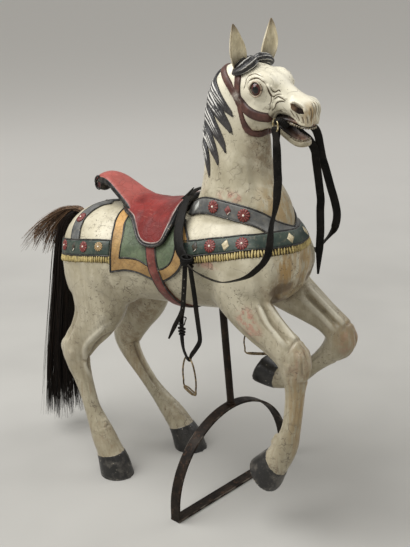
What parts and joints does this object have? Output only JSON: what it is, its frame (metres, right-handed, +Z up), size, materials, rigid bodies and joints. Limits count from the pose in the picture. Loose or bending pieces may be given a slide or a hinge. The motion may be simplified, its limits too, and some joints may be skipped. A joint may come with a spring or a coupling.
{
  "type": "carousel horse",
  "caption": "Carved and painted carousel horse in harness, one foreleg raised, held up by a pole on an arched iron stand.",
  "frame": {"origin": "centre of the whole object's box, at floor level", "axes": "+X the way the horse faces, +Y the horse's left side, +Z up"},
  "size_m": [0.9496, 0.436, 1.2202],
  "materials": {
    "carved_wood": "aged cream paint, finely crackled and stained, with painted harness",
    "eye_glass": "polished dark red-brown glass with a black pupil, opaque",
    "tail_hair": "coarse black and brown horsehair",
    "black_leather": "worn black leather, low sheen",
    "bit_brass": "dull yellow brass",
    "buckle_iron": "blackened iron wire",
    "stirrup_metal": "dark tarnished brass",
    "stand_iron": "dark brown-black wrought flat bar, slightly worn"
  },
  "bodies": {
    "root": {"horse": "carved_wood", "eye_right": "eye_glass", "eye_left": "eye_glass", "tail": "tail_hair", "bit_bar": "black_leather", "bit_ring_right": "bit_brass", "bit_ring_left": "bit_brass", "rein_right": "black_leather", "rein_left": "black_leather", "stirrup_strap": "black_leather", "buckle_right": "buckle_iron", "buckle_left": "buckle_iron", "stirrup_right": "stirrup_metal", "stirrup_left": "stirrup_metal", "stand_pole": "stand_iron", "stand_arch": "stand_iron", "stand_floor_bar": "stand_iron"}
  },
  "joints": []
}
